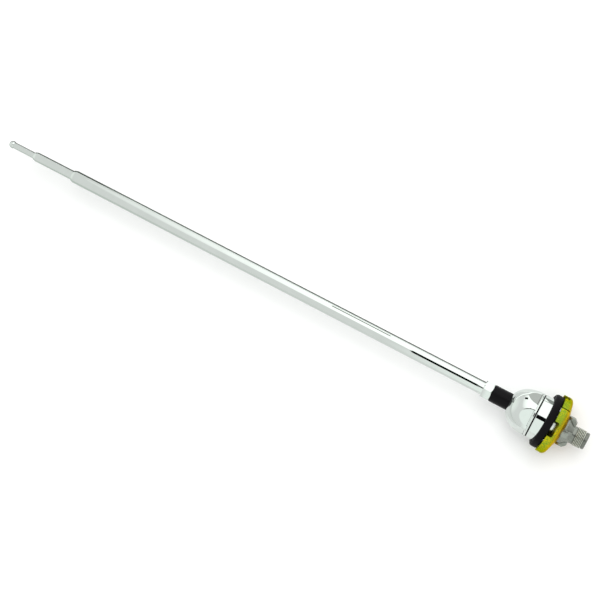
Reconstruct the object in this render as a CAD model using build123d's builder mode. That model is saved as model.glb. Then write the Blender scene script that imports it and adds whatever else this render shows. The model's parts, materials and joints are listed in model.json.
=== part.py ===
"""Telescopic car mast aerial with a wedge base, closed, in millimetres.

The mast axis is +Z. The origin is where that axis meets the outer face of the car's panel, which is
the underside of the rubber gasket. The gasket and the cup lie square to the panel, and the panel slopes
down towards -Y by the angle of the wedge collar.
"""

import os
from math import cos, radians, sin, tan

from build123d import *

os.makedirs("parts", exist_ok=True)

# Fits, measured on the radius or along the axis
slide_clearance = 0.05
thread_clearance = 0.05
press_clearance = 0.02
free_clearance = 0.3
stop_clearance = 0.3

# Mast sections, sized from the inside out
tip_rod_radius = 1.7
spring_gap = 0.38
middle_tube_wall = 0.5
outer_tube_wall = 0.55
outer_tube_length = 249.5
middle_reach = 25.3
tip_reach = 13.3
bead_radius = 2.05
bead_spigot_radius = 0.9
bead_spigot_length = 4.0
mouth_length = 1.6
mouth_wall = 0.4

# Brass stops and friction springs at the feet of the sliding sections
stop_collar_length = 1.5
stop_spigot_length = 6.0
stop_bore_radius = 1.0
spring_length = 6.0
spring_thickness = 0.2
spring_bulge = 0.1
spring_end_clearance = 0.1
spring_wrap_angle = 330.0

# Hex ferrule and centre stud at the foot of the mast
hex_shoulder = 0.8
hex_height = 4.7
hex_chamfer = 0.6
hex_corner_angle = 252.0
ferrule_spigot_length = 8.0
stud_radius = 1.75
stud_grip_length = 9.0
stud_pin_radius = 1.2
stud_pin_length = 9.0

# Black insulator sleeve
sleeve_radius = 4.5
sleeve_reach = 10.1
sleeve_edge_round = 0.4
sleeve_flange_thickness = 2.5
sleeve_spigot_radius = 4.0
sleeve_spigot_length = 6.0
sleeve_seal_height = 1.2

# Dome nut
dome_height = 13.1
dome_shoulder_height = 6.3
dome_shoulder_inset = 0.9
dome_lip = 0.95
dome_lip_round = 0.25
dome_ring_height = 0.9
dome_ring_proud = 0.1
spanner_flats = 21.7
spanner_flat_count = 6
spanner_flat_angle = 239.5
thread_engagement = 6.0

# Wedge collar, seal ring and gasket
wedge_angle = 7.5
collar_radius = 11.8
collar_height = 3.5
collar_chamfer = 0.3
spigot_drop = 4.0
dome_seal_thickness = 0.55
dome_seal_inset = 0.35
gasket_radius = 14.5
gasket_width = 3.6
gasket_thickness = 3.8
gasket_edge_round = 1.3
gasket_foot_round = 0.3

# Pressed steel cup
cup_radius = 15.7
cup_depth = 6.9
cup_wall_height = 4.3
cup_sheet = 1.2
cup_bend_radius = 0.8
cup_rock_clearance = 0.5
window_width = 8.3
window_depth = 2.5
window_corner = 0.8
window_angle = 243.0
slit_width = 0.6
slit_angle = 288.5
lug_notch_width = 5.4
lug_notch_depth = 1.2

# Die-cast stub
shank_radius = 7.0
shank_chamfer = 0.6
lug_count = 4
key_angle = 240.0
lug_reach = 1.1
lug_width = 4.0
lug_straight = 3.6
lug_height = 5.3
lug_bevel = 1.7
neck_radius = 4.55
neck_length = 1.6
thread_radius = 5.0
thread_length = 4.5
thread_run_in = 0.4
groove_width = 0.35
groove_depth = 0.5
stub_end_radius = 4.4
stub_end_length = 1.7
stub_end_round = 0.6

# Contact in the stub
socket_radius = 3.4
socket_depth = 5.6
insulator_neck_radius = 2.9
contact_radius = 1.8
contact_recess = 0.5
contact_upper_depth = 10.0
contact_lower_radius = 1.0
contact_lower_depth = 7.0
contact_slit = 0.4
contact_slit_length = 4.0

# Radii that follow from the sizes above
middle_bore = tip_rod_radius + spring_gap
middle_tube_radius = middle_bore + middle_tube_wall
outer_bore = middle_tube_radius + spring_gap
outer_tube_radius = outer_bore + outer_tube_wall
hex_apothem = outer_tube_radius + hex_shoulder
lug_radius = shank_radius + lug_reach
sleeve_flange_radius = shank_radius - free_clearance
shank_bore = sleeve_spigot_radius + press_clearance
cup_hole_radius = shank_radius + cup_rock_clearance
collar_bore = shank_radius + free_clearance
gasket_bore = gasket_radius - gasket_width

# Heights on the mast axis, up from the panel
wedge = radians(wedge_angle)
gasket_top = gasket_thickness / cos(wedge)
collar_top = gasket_top + collar_height
dome_bottom = collar_top + dome_seal_thickness
dome_ring_top = dome_bottom + dome_ring_height
dome_crown = dome_ring_top + dome_height
shank_top = dome_bottom + thread_engagement
sleeve_flange_top = shank_top + sleeve_flange_thickness
sleeve_seal_top = sleeve_flange_top + sleeve_seal_height
sleeve_top = dome_crown + sleeve_reach
hex_top = sleeve_top + hex_height
ferrule_spigot_top = hex_top + ferrule_spigot_length
outer_mouth = hex_top + outer_tube_length
stop_length = 2 * stop_collar_length + spring_length + 2 * spring_end_clearance
middle_stop_bottom = ferrule_spigot_top + stop_clearance
middle_tube_bottom = middle_stop_bottom + stop_length
middle_mouth = outer_mouth + middle_reach
tip_stop_bottom = middle_tube_bottom + stop_spigot_length + stop_clearance
tip_rod_bottom = tip_stop_bottom + stop_length
tip_rod_top = middle_mouth + tip_reach
sleeve_spigot_bottom = shank_top - sleeve_spigot_length
stud_pin_bottom = sleeve_spigot_bottom - stud_pin_length

# Heights on the mast axis, down from the panel
cup_base = -cup_depth / cos(wedge)
lug_top = cup_base + lug_notch_depth * cos(wedge) - lug_radius * sin(wedge) - slide_clearance
shank_bottom = lug_top - lug_width / 2
lug_bottom = lug_top - lug_height
thread_top = lug_bottom - neck_length
thread_bottom = thread_top - thread_length
groove_bottom = thread_bottom - groove_width
stub_end = groove_bottom - stub_end_length
socket_floor = stub_end + socket_depth
contact_top = sleeve_spigot_bottom - contact_recess

# The spigot stands on the mast axis, so the tilted gasket needs room round it
spigot_radius = gasket_bore - gasket_thickness * sin(wedge) - free_clearance

# Planes that lie with the panel
seat_plane = Plane(origin=(0, 0, 0), x_dir=(1, 0, 0), z_dir=(0, -sin(wedge), cos(wedge)))
cup_plane = Plane(origin=(0, 0, cup_base), x_dir=(1, 0, 0), z_dir=seat_plane.z_dir)
spigot_plane = Plane(origin=(0, 0, -spigot_drop / cos(wedge)), x_dir=(1, 0, 0), z_dir=seat_plane.z_dir)


def section_of(plane):
    """Plane that cuts through another plane's axis, with its height as local Y."""
    return Plane(origin=plane.origin, x_dir=plane.x_dir, z_dir=-plane.y_dir)


def facing_out(plane, angle):
    """Plane on another plane's axis that faces outwards at an angle round that axis."""
    turned = plane.moved(Location((0, 0, 0), (0, 0, angle)))
    return Plane(origin=turned.origin, x_dir=turned.y_dir, z_dir=turned.x_dir)


def half_outline(points):
    """Closed outline of (radius, height) points, ready to be revolved about the mast axis."""
    with BuildSketch(Plane.XZ) as outline:
        with BuildLine():
            Polyline(*points, close=True)
        make_face()
    return outline.sketch


def tube_outline(bottom, mouth, radius, bore, mouth_bore):
    """Outline of a drawn tube whose upper end is swaged in to guide the thinner section inside it."""
    shoulder = mouth - mouth_length
    return half_outline(
        [
            (bore, bottom),
            (radius, bottom),
            (radius, shoulder),
            (mouth_bore + mouth_wall, mouth),
            (mouth_bore, mouth),
            (mouth_bore, mouth - mouth_length / 2),
            (bore, shoulder),
        ]
    )


def stop_points(bottom, bore, spigot_radius, spigot_top):
    """Outer points of a brass stop: two collars, a neck for its spring and a spigot or bore on top."""
    collar = bore - slide_clearance
    neck = collar - spring_bulge - spring_thickness - press_clearance
    neck_bottom = bottom + stop_collar_length
    neck_top = neck_bottom + spring_length + 2 * spring_end_clearance
    top = neck_top + stop_collar_length
    return [
        (collar, bottom),
        (collar, neck_bottom),
        (neck, neck_bottom),
        (neck, neck_top),
        (collar, neck_top),
        (collar, top),
        (spigot_radius, top),
        (spigot_radius, spigot_top),
    ]


def spring_outline(stop_bottom, bore):
    """Outline of a barrel-shaped spring sleeve that sits on a stop's neck and rubs on the tube outside it."""
    crest = bore - slide_clearance
    end = crest - spring_bulge
    low = stop_bottom + stop_collar_length + spring_end_clearance
    high = low + spring_length
    middle = (low + high) / 2
    inner_crest = crest - spring_thickness
    inner_end = end - spring_thickness
    with BuildSketch(Plane.XZ) as outline:
        with BuildLine():
            ThreePointArc((end, low), (crest, middle), (end, high))
            Line((end, high), (inner_end, high))
            ThreePointArc((inner_end, high), (inner_crest, middle), (inner_end, low))
            Line((inner_end, low), (end, low))
        make_face()
    return outline.sketch


# Tip section
with BuildPart() as tip_rod:
    tail_radius = stop_bore_radius - press_clearance
    profile = half_outline(
        [
            (0, tip_stop_bottom),
            (tail_radius, tip_stop_bottom),
            (tail_radius, tip_rod_bottom),
            (tip_rod_radius, tip_rod_bottom),
            (tip_rod_radius, tip_rod_top),
            (bead_spigot_radius + press_clearance, tip_rod_top),
            (bead_spigot_radius + press_clearance, tip_rod_top - bead_spigot_length - press_clearance),
            (0, tip_rod_top - bead_spigot_length - press_clearance),
        ]
    )
    revolve(profile)
tip_rod.part.label = "tip_rod"
export_step(tip_rod.part, "parts/tip_rod.step")

with BuildPart() as tip_bead:
    bead_centre = tip_rod_top + (bead_radius**2 - tip_rod_radius**2) ** 0.5
    with BuildSketch(Plane.XZ):
        with BuildLine():
            Polyline(
                (0, bead_centre + bead_radius),
                (0, tip_rod_top - bead_spigot_length),
                (bead_spigot_radius, tip_rod_top - bead_spigot_length),
                (bead_spigot_radius, tip_rod_top),
                (tip_rod_radius, tip_rod_top),
            )
            ThreePointArc(
                (tip_rod_radius, tip_rod_top), (bead_radius, bead_centre), (0, bead_centre + bead_radius)
            )
        make_face()
    revolve(axis=Axis.Z)
tip_bead.part.label = "tip_bead"
export_step(tip_bead.part, "parts/tip_bead.step")

with BuildPart() as tip_stop:
    profile = half_outline(
        [(stop_bore_radius, tip_stop_bottom)]
        + stop_points(tip_stop_bottom, middle_bore, stop_bore_radius, tip_rod_bottom)[:-1]
    )
    revolve(profile)
tip_stop.part.label = "tip_stop"
export_step(tip_stop.part, "parts/tip_stop.step")

with BuildPart() as tip_spring:
    revolve(spring_outline(tip_stop_bottom, middle_bore), revolution_arc=spring_wrap_angle)
tip_spring.part.label = "tip_spring"
export_step(tip_spring.part, "parts/tip_spring.step")

# Middle section
with BuildPart() as middle_tube:
    mouth_bore = tip_rod_radius + slide_clearance
    revolve(tube_outline(middle_tube_bottom, middle_mouth, middle_tube_radius, middle_bore, mouth_bore))
middle_tube.part.label = "middle_tube"
export_step(middle_tube.part, "parts/middle_tube.step")

with BuildPart() as middle_stop:
    middle_spigot_top = middle_tube_bottom + stop_spigot_length
    profile = half_outline(
        [(0, middle_stop_bottom)]
        + stop_points(middle_stop_bottom, outer_bore, middle_bore - press_clearance, middle_spigot_top)
        + [(0, middle_spigot_top)]
    )
    revolve(profile)
middle_stop.part.label = "middle_stop"
export_step(middle_stop.part, "parts/middle_stop.step")

with BuildPart() as middle_spring:
    revolve(spring_outline(middle_stop_bottom, outer_bore), revolution_arc=spring_wrap_angle)
middle_spring.part.label = "middle_spring"
export_step(middle_spring.part, "parts/middle_spring.step")

# Outer section and the foot of the mast
with BuildPart() as outer_tube:
    mouth_bore = middle_tube_radius + slide_clearance
    revolve(tube_outline(hex_top, outer_mouth, outer_tube_radius, outer_bore, mouth_bore))
outer_tube.part.label = "outer_tube"
export_step(outer_tube.part, "parts/outer_tube.step")

with BuildPart() as hex_ferrule:
    corner = hex_apothem / cos(radians(30))
    with BuildSketch(Plane.XY.offset(sleeve_top)):
        RegularPolygon(hex_apothem, 6, major_radius=False, rotation=hex_corner_angle)
    extrude(amount=hex_height)
    profile = half_outline(
        [
            (0, sleeve_top),
            (corner - hex_chamfer, sleeve_top),
            (corner, sleeve_top + hex_chamfer),
            (corner, hex_top - hex_chamfer),
            (corner - hex_chamfer, hex_top),
            (0, hex_top),
        ]
    )
    revolve(profile, mode=Mode.INTERSECT)
    with BuildSketch(Plane.XY.offset(hex_top)):
        Circle(outer_bore - press_clearance)
    extrude(amount=ferrule_spigot_length)
    with BuildSketch(Plane.XY.offset(sleeve_top)):
        Circle(stud_radius + press_clearance)
    extrude(amount=stud_grip_length + press_clearance, mode=Mode.SUBTRACT)
hex_ferrule.part.label = "hex_ferrule"
export_step(hex_ferrule.part, "parts/hex_ferrule.step")

with BuildPart() as mast_stud:
    profile = half_outline(
        [
            (0, sleeve_top + stud_grip_length),
            (stud_radius, sleeve_top + stud_grip_length),
            (stud_radius, sleeve_spigot_bottom),
            (stud_pin_radius, sleeve_spigot_bottom),
            (stud_pin_radius, stud_pin_bottom + stud_pin_radius / 2),
            (stud_pin_radius / 2, stud_pin_bottom),
            (0, stud_pin_bottom),
        ]
    )
    revolve(profile)
mast_stud.part.label = "mast_stud"
export_step(mast_stud.part, "parts/mast_stud.step")

with BuildPart() as insulator_sleeve:
    sleeve_bore = stud_radius + press_clearance
    profile = half_outline(
        [
            (sleeve_bore, sleeve_spigot_bottom),
            (sleeve_spigot_radius, sleeve_spigot_bottom),
            (sleeve_spigot_radius, shank_top),
            (sleeve_flange_radius, shank_top),
            (sleeve_flange_radius, sleeve_flange_top),
            (sleeve_radius, sleeve_flange_top),
            (sleeve_radius, sleeve_top),
            (sleeve_bore, sleeve_top),
        ]
    )
    revolve(profile)
    sleeve_rim = insulator_sleeve.edges().group_by(Axis.Z)[-1].sort_by(SortBy.RADIUS)[-1]
    fillet(sleeve_rim, sleeve_edge_round)
insulator_sleeve.part.label = "insulator_sleeve"
export_step(insulator_sleeve.part, "parts/insulator_sleeve.step")

with BuildPart() as sleeve_seal:
    with BuildSketch(Plane.XY.offset(sleeve_flange_top)):
        Circle(sleeve_flange_radius)
        Circle(sleeve_radius + press_clearance, mode=Mode.SUBTRACT)
    extrude(amount=sleeve_seal_height)
sleeve_seal.part.label = "sleeve_seal"
export_step(sleeve_seal.part, "parts/sleeve_seal.step")

# Dome nut: two tangent arcs, with flats that run out into the dome as arches
with BuildPart() as dome_nut:
    crown_hole = sleeve_radius + slide_clearance
    ring_radius = collar_radius + dome_ring_proud
    shoulder = (collar_radius - dome_shoulder_inset, dome_ring_top + dome_shoulder_height)
    with BuildSketch(Plane.XZ):
        with BuildLine():
            Polyline(
                (crown_hole + dome_lip, dome_crown),
                (0, dome_crown),
                (0, dome_ring_top),
                (collar_radius, dome_ring_top),
            )
            skirt = TangentArc((collar_radius, dome_ring_top), shoulder, tangent=(0, 1))
            TangentArc(shoulder, (crown_hole + dome_lip, dome_crown), tangent=skirt % 1)
        make_face()
    revolve(axis=Axis.Z)
    fillet(dome_nut.edges().group_by(Axis.Z)[-1], dome_lip_round)
    with BuildSketch(Plane.XY.offset(dome_ring_top)):
        Circle(2 * collar_radius)
        RegularPolygon(
            spanner_flats / 2,
            spanner_flat_count,
            major_radius=False,
            rotation=spanner_flat_angle + 180 / spanner_flat_count,
            mode=Mode.SUBTRACT,
        )
    extrude(amount=dome_height, mode=Mode.SUBTRACT)
    with BuildSketch(Plane.XY.offset(dome_bottom)):
        Circle(ring_radius)
    extrude(amount=dome_ring_height)
    fillet(dome_nut.edges().group_by(Axis.Z)[0], dome_ring_proud)
    with BuildSketch(Plane.XY.offset(dome_bottom)):
        Circle(crown_hole)
    extrude(amount=dome_crown - dome_bottom, mode=Mode.SUBTRACT)
    with BuildSketch(Plane.XY.offset(dome_bottom)):
        Circle(shank_radius + thread_clearance)
    extrude(amount=sleeve_seal_top - dome_bottom, mode=Mode.SUBTRACT)
dome_nut.part.label = "dome_nut"
export_step(dome_nut.part, "parts/dome_nut.step")

with BuildPart() as dome_seal:
    with BuildSketch(Plane.XY.offset(collar_top)):
        Circle(collar_radius - dome_seal_inset)
        Circle(collar_bore, mode=Mode.SUBTRACT)
    extrude(amount=dome_seal_thickness)
dome_seal.part.label = "dome_seal"
export_step(dome_seal.part, "parts/dome_seal.step")

# Wedge collar: round on the mast axis, with a seat and a spigot end that lie with the panel
with BuildPart() as wedge_collar:
    with BuildSketch(Plane.XY.offset(collar_top)):
        Circle(collar_radius)
    extrude(amount=-(collar_height + collar_radius * tan(wedge)))
    split(bisect_by=seat_plane.offset(gasket_thickness), keep=Keep.TOP)
    chamfer(wedge_collar.faces().sort_by(Axis.Z)[-1].edges(), collar_chamfer)
    with BuildSketch(Plane.XY.offset(collar_top - collar_height / 2)):
        Circle(spigot_radius)
    extrude(amount=-collar_top - 2 * spigot_drop)
    with BuildSketch(spigot_plane):
        Circle(2 * collar_radius)
    extrude(amount=-2 * spigot_drop, mode=Mode.SUBTRACT)
    with BuildSketch(Plane.XY.offset(collar_top)):
        Circle(collar_bore)
    extrude(amount=-2 * collar_top - 2 * spigot_drop, mode=Mode.SUBTRACT)
wedge_collar.part.label = "wedge_collar"
export_step(wedge_collar.part, "parts/wedge_collar.step")

with BuildPart() as gasket:
    with BuildSketch(section_of(seat_plane)) as gasket_section:
        with Locations(((gasket_bore + gasket_radius) / 2, gasket_thickness / 2)):
            Rectangle(gasket_radius - gasket_bore, gasket_thickness)
        outer_corners = gasket_section.vertices().group_by(Axis.X)[-1].sort_by(Axis.Y)
        fillet(outer_corners[-1], gasket_edge_round)
        fillet(outer_corners[0], gasket_foot_round)
    revolve(axis=Axis(seat_plane.origin, seat_plane.z_dir))
gasket.part.label = "gasket"
export_step(gasket.part, "parts/gasket.step")

# Pressed cup: bent sheet with four windows in its rim, four notches for the lugs and one slit
with BuildPart() as claw_cup:
    cup_shoulder = cup_depth - cup_wall_height
    cone_slope = cup_shoulder / (cup_radius - cup_hole_radius)
    with BuildSketch(section_of(cup_plane)):
        with BuildLine():
            FilletPolyline(
                (cup_radius, cup_depth),
                (cup_radius, cup_shoulder),
                (cup_hole_radius - cup_sheet, -cup_sheet * cone_slope),
                radius=cup_bend_radius + cup_sheet,
            )
            offset(amount=cup_sheet, side=Side.RIGHT)
        make_face()
    revolve(axis=Axis(cup_plane.origin, cup_plane.z_dir))
    with BuildSketch(cup_plane):
        Circle(cup_hole_radius)
    extrude(amount=cup_depth, both=True, mode=Mode.SUBTRACT)
    notch_radius = (lug_notch_width**2 / 4 + lug_notch_depth**2) / (2 * lug_notch_depth)
    for quarter in range(lug_count):
        with BuildSketch(facing_out(cup_plane, window_angle + quarter * 360 / lug_count)):
            with Locations((0, cup_depth)):
                RectangleRounded(window_width, 2 * window_depth, window_corner)
        extrude(amount=2 * cup_radius, mode=Mode.SUBTRACT)
        with BuildSketch(facing_out(cup_plane, key_angle + quarter * 360 / lug_count)):
            with Locations((0, lug_notch_depth - notch_radius)):
                Circle(notch_radius)
        extrude(amount=2 * cup_radius, mode=Mode.SUBTRACT)
    with BuildSketch(facing_out(cup_plane, slit_angle)):
        with Locations((0, cup_depth)):
            Rectangle(slit_width, 2 * cup_wall_height)
    extrude(amount=2 * cup_radius, mode=Mode.SUBTRACT)
claw_cup.part.label = "claw_cup"
export_step(claw_cup.part, "parts/claw_cup.step")

# Die-cast stub: lugs first, trimmed to their outline, then the turned core and its bores
with BuildPart() as stub_body:
    for lug in range(lug_count):
        with BuildSketch(facing_out(Plane.XY, key_angle + lug * 360 / lug_count)):
            with Locations((0, lug_top - lug_width / 2)):
                Circle(lug_width / 2)
            with Locations((0, (lug_top - lug_width / 2 + lug_bottom) / 2)):
                Rectangle(lug_width, lug_height - lug_width / 2)
        extrude(amount=lug_radius + free_clearance)
    lug_profile = half_outline(
        [
            (0, lug_bottom),
            (lug_radius - lug_bevel, lug_bottom),
            (lug_radius, lug_top - lug_straight),
            (lug_radius, lug_top),
            (0, lug_top),
        ]
    )
    revolve(lug_profile, mode=Mode.INTERSECT)
    profile = half_outline(
        [
            (0, shank_top),
            (shank_radius - shank_chamfer, shank_top),
            (shank_radius, shank_top - shank_chamfer),
            (shank_radius, shank_bottom),
            (neck_radius, lug_bottom),
            (neck_radius, thread_top),
            (thread_radius, thread_top - thread_run_in),
            (thread_radius, thread_bottom),
            (thread_radius - groove_depth - thread_run_in, thread_bottom),
            (thread_radius - groove_depth - thread_run_in, groove_bottom),
            (stub_end_radius, groove_bottom),
            (stub_end_radius, stub_end),
            (0, stub_end),
        ]
    )
    revolve(profile)
    stub_rim = stub_body.edges().group_by(Axis.Z)[0]
    fillet(stub_rim, stub_end_round)
    with BuildSketch(Plane.XY.offset(shank_top)):
        Circle(shank_bore)
    extrude(amount=lug_top - shank_top, mode=Mode.SUBTRACT)
    with BuildSketch(Plane.XY.offset(lug_top)):
        Circle(insulator_neck_radius + press_clearance)
    extrude(amount=stub_end - lug_top, mode=Mode.SUBTRACT)
    with BuildSketch(Plane.XY.offset(stub_end)):
        Circle(socket_radius)
    extrude(amount=socket_depth, mode=Mode.SUBTRACT)
stub_body.part.label = "stub_body"
export_step(stub_body.part, "parts/stub_body.step")

with BuildPart() as contact_insulator:
    contact_bore = contact_radius + press_clearance
    profile = half_outline(
        [
            (contact_bore, socket_floor),
            (insulator_neck_radius, socket_floor),
            (insulator_neck_radius, lug_top),
            (sleeve_spigot_radius, lug_top),
            (sleeve_spigot_radius, sleeve_spigot_bottom),
            (contact_bore, sleeve_spigot_bottom),
        ]
    )
    revolve(profile)
contact_insulator.part.label = "contact_insulator"
export_step(contact_insulator.part, "parts/contact_insulator.step")

with BuildPart() as centre_contact:
    upper_bore = stud_pin_radius + slide_clearance
    profile = half_outline(
        [
            (upper_bore, contact_top),
            (contact_radius, contact_top),
            (contact_radius, socket_floor),
            (contact_lower_radius, socket_floor),
            (contact_lower_radius, socket_floor + contact_lower_depth),
            (0, socket_floor + contact_lower_depth),
            (0, contact_top - contact_upper_depth),
            (upper_bore, contact_top - contact_upper_depth),
        ]
    )
    revolve(profile)
    for slit_end in (contact_top, socket_floor):
        with BuildSketch(Plane.XY.offset(slit_end)):
            Rectangle(3 * contact_radius, contact_slit)
            Rectangle(contact_slit, 3 * contact_radius)
        extrude(amount=contact_slit_length, both=True, mode=Mode.SUBTRACT)
centre_contact.part.label = "centre_contact"
export_step(centre_contact.part, "parts/centre_contact.step")

middle_travel = outer_mouth - mouth_length - middle_tube_bottom - stop_clearance
tip_travel = middle_mouth - mouth_length - tip_rod_bottom - stop_clearance
print(f"middle tube travel {middle_travel:.2f} mm, tip rod travel {tip_travel:.2f} mm")
print(f"coax thread from {thread_top - thread_run_in:.2f} to {thread_bottom:.2f} mm")
print(f"coax socket from {socket_floor:.2f} to {stub_end:.2f} mm")
print(f"tip at {tip_rod_top:.2f} mm, stub end at {stub_end:.2f} mm")
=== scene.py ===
"""Dressed scene of a telescopic car mast aerial, laid out as an add-on and run as a script.

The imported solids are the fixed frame, in metres, with the mast along +Z and the origin on the panel under
the gasket. New pieces stand for the solids that show, with softened edges and the fine detail that a solid
leaves out. The hidden solids stay and get their own finishes.
"""

import json
from collections import namedtuple
from math import asin, ceil, copysign, cos, pi, radians, sin, sqrt, tan, tau

import bpy
from bpy.props import FloatProperty, FloatVectorProperty, IntProperty, PointerProperty
from mathutils import Matrix, Vector


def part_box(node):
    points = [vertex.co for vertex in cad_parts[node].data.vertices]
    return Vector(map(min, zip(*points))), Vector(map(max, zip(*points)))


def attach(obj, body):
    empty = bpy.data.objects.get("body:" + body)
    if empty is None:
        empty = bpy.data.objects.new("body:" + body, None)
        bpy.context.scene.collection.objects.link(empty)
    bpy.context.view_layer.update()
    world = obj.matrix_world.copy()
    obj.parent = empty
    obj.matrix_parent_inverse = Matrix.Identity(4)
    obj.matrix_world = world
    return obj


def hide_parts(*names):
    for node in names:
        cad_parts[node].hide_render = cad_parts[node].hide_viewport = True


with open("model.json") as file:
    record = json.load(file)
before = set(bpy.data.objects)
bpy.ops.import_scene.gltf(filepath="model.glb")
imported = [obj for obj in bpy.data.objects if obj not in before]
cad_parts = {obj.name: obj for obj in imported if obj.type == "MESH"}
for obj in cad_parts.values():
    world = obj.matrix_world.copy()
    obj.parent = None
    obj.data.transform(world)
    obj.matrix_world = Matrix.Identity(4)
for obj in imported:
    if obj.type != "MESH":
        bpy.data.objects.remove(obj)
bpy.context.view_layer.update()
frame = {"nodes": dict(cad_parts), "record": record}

bl_info = {
    "name": "Car Mast Aerial",
    "version": (1, 0, 0),
    "blender": (4, 5, 0),
    "location": "3D View > Sidebar > Aerial",
    "description": "Dresses the packed solids of a telescopic car mast aerial",
    "category": "Add Mesh",
}

MM = 0.001
UP = Vector((0, 0, 1))
WHITE = (1, 1, 1, 1)
PICTURE = 600
SENSOR = 36.0
SAME_POINT = 1e-7
SEAM = 1e-6

Span = namedtuple("Span", "low top radius")


def span(node):
    """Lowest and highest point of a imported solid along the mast, and half its width across it."""
    low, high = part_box(node)
    return Span(low.z, high.z, high.x)


def panel_slope():
    """Angle between the panel and the plane square to the mast, from the clamp's axis in the record."""
    clamp = next(mount for mount in frame["record"]["mounts"] if mount["name"] == "panel_clamp")
    return asin(clamp["axis"][1])


def panel_square():
    """Direction that stands square on the panel."""
    return Vector((0, -sin(panel_slope()), cos(panel_slope())))


def length(name, text, size):
    """A length that a user may change, given here in mm."""
    return FloatProperty(name=name, description=text, default=size * MM, min=0.0, unit="LENGTH", precision=5)


def angle(name, text, degrees):
    """An angle that a user may change."""
    return FloatProperty(name=name, description=text, default=radians(degrees), subtype="ANGLE")


def linear(code):
    """sRGB hex as a linear colour."""
    parts = [int(code[place : place + 2], 16) / 255 for place in (0, 2, 4)]
    return [part / 12.92 if part <= 0.04045 else ((part + 0.055) / 1.055) ** 2.4 for part in parts] + [1.0]


def colour(name, text, code):
    """A colour that a user may change, given here as sRGB hex."""
    return FloatVectorProperty(
        name=name, description=text, default=linear(code), size=4, min=0.0, max=1.0, subtype="COLOR"
    )


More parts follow.
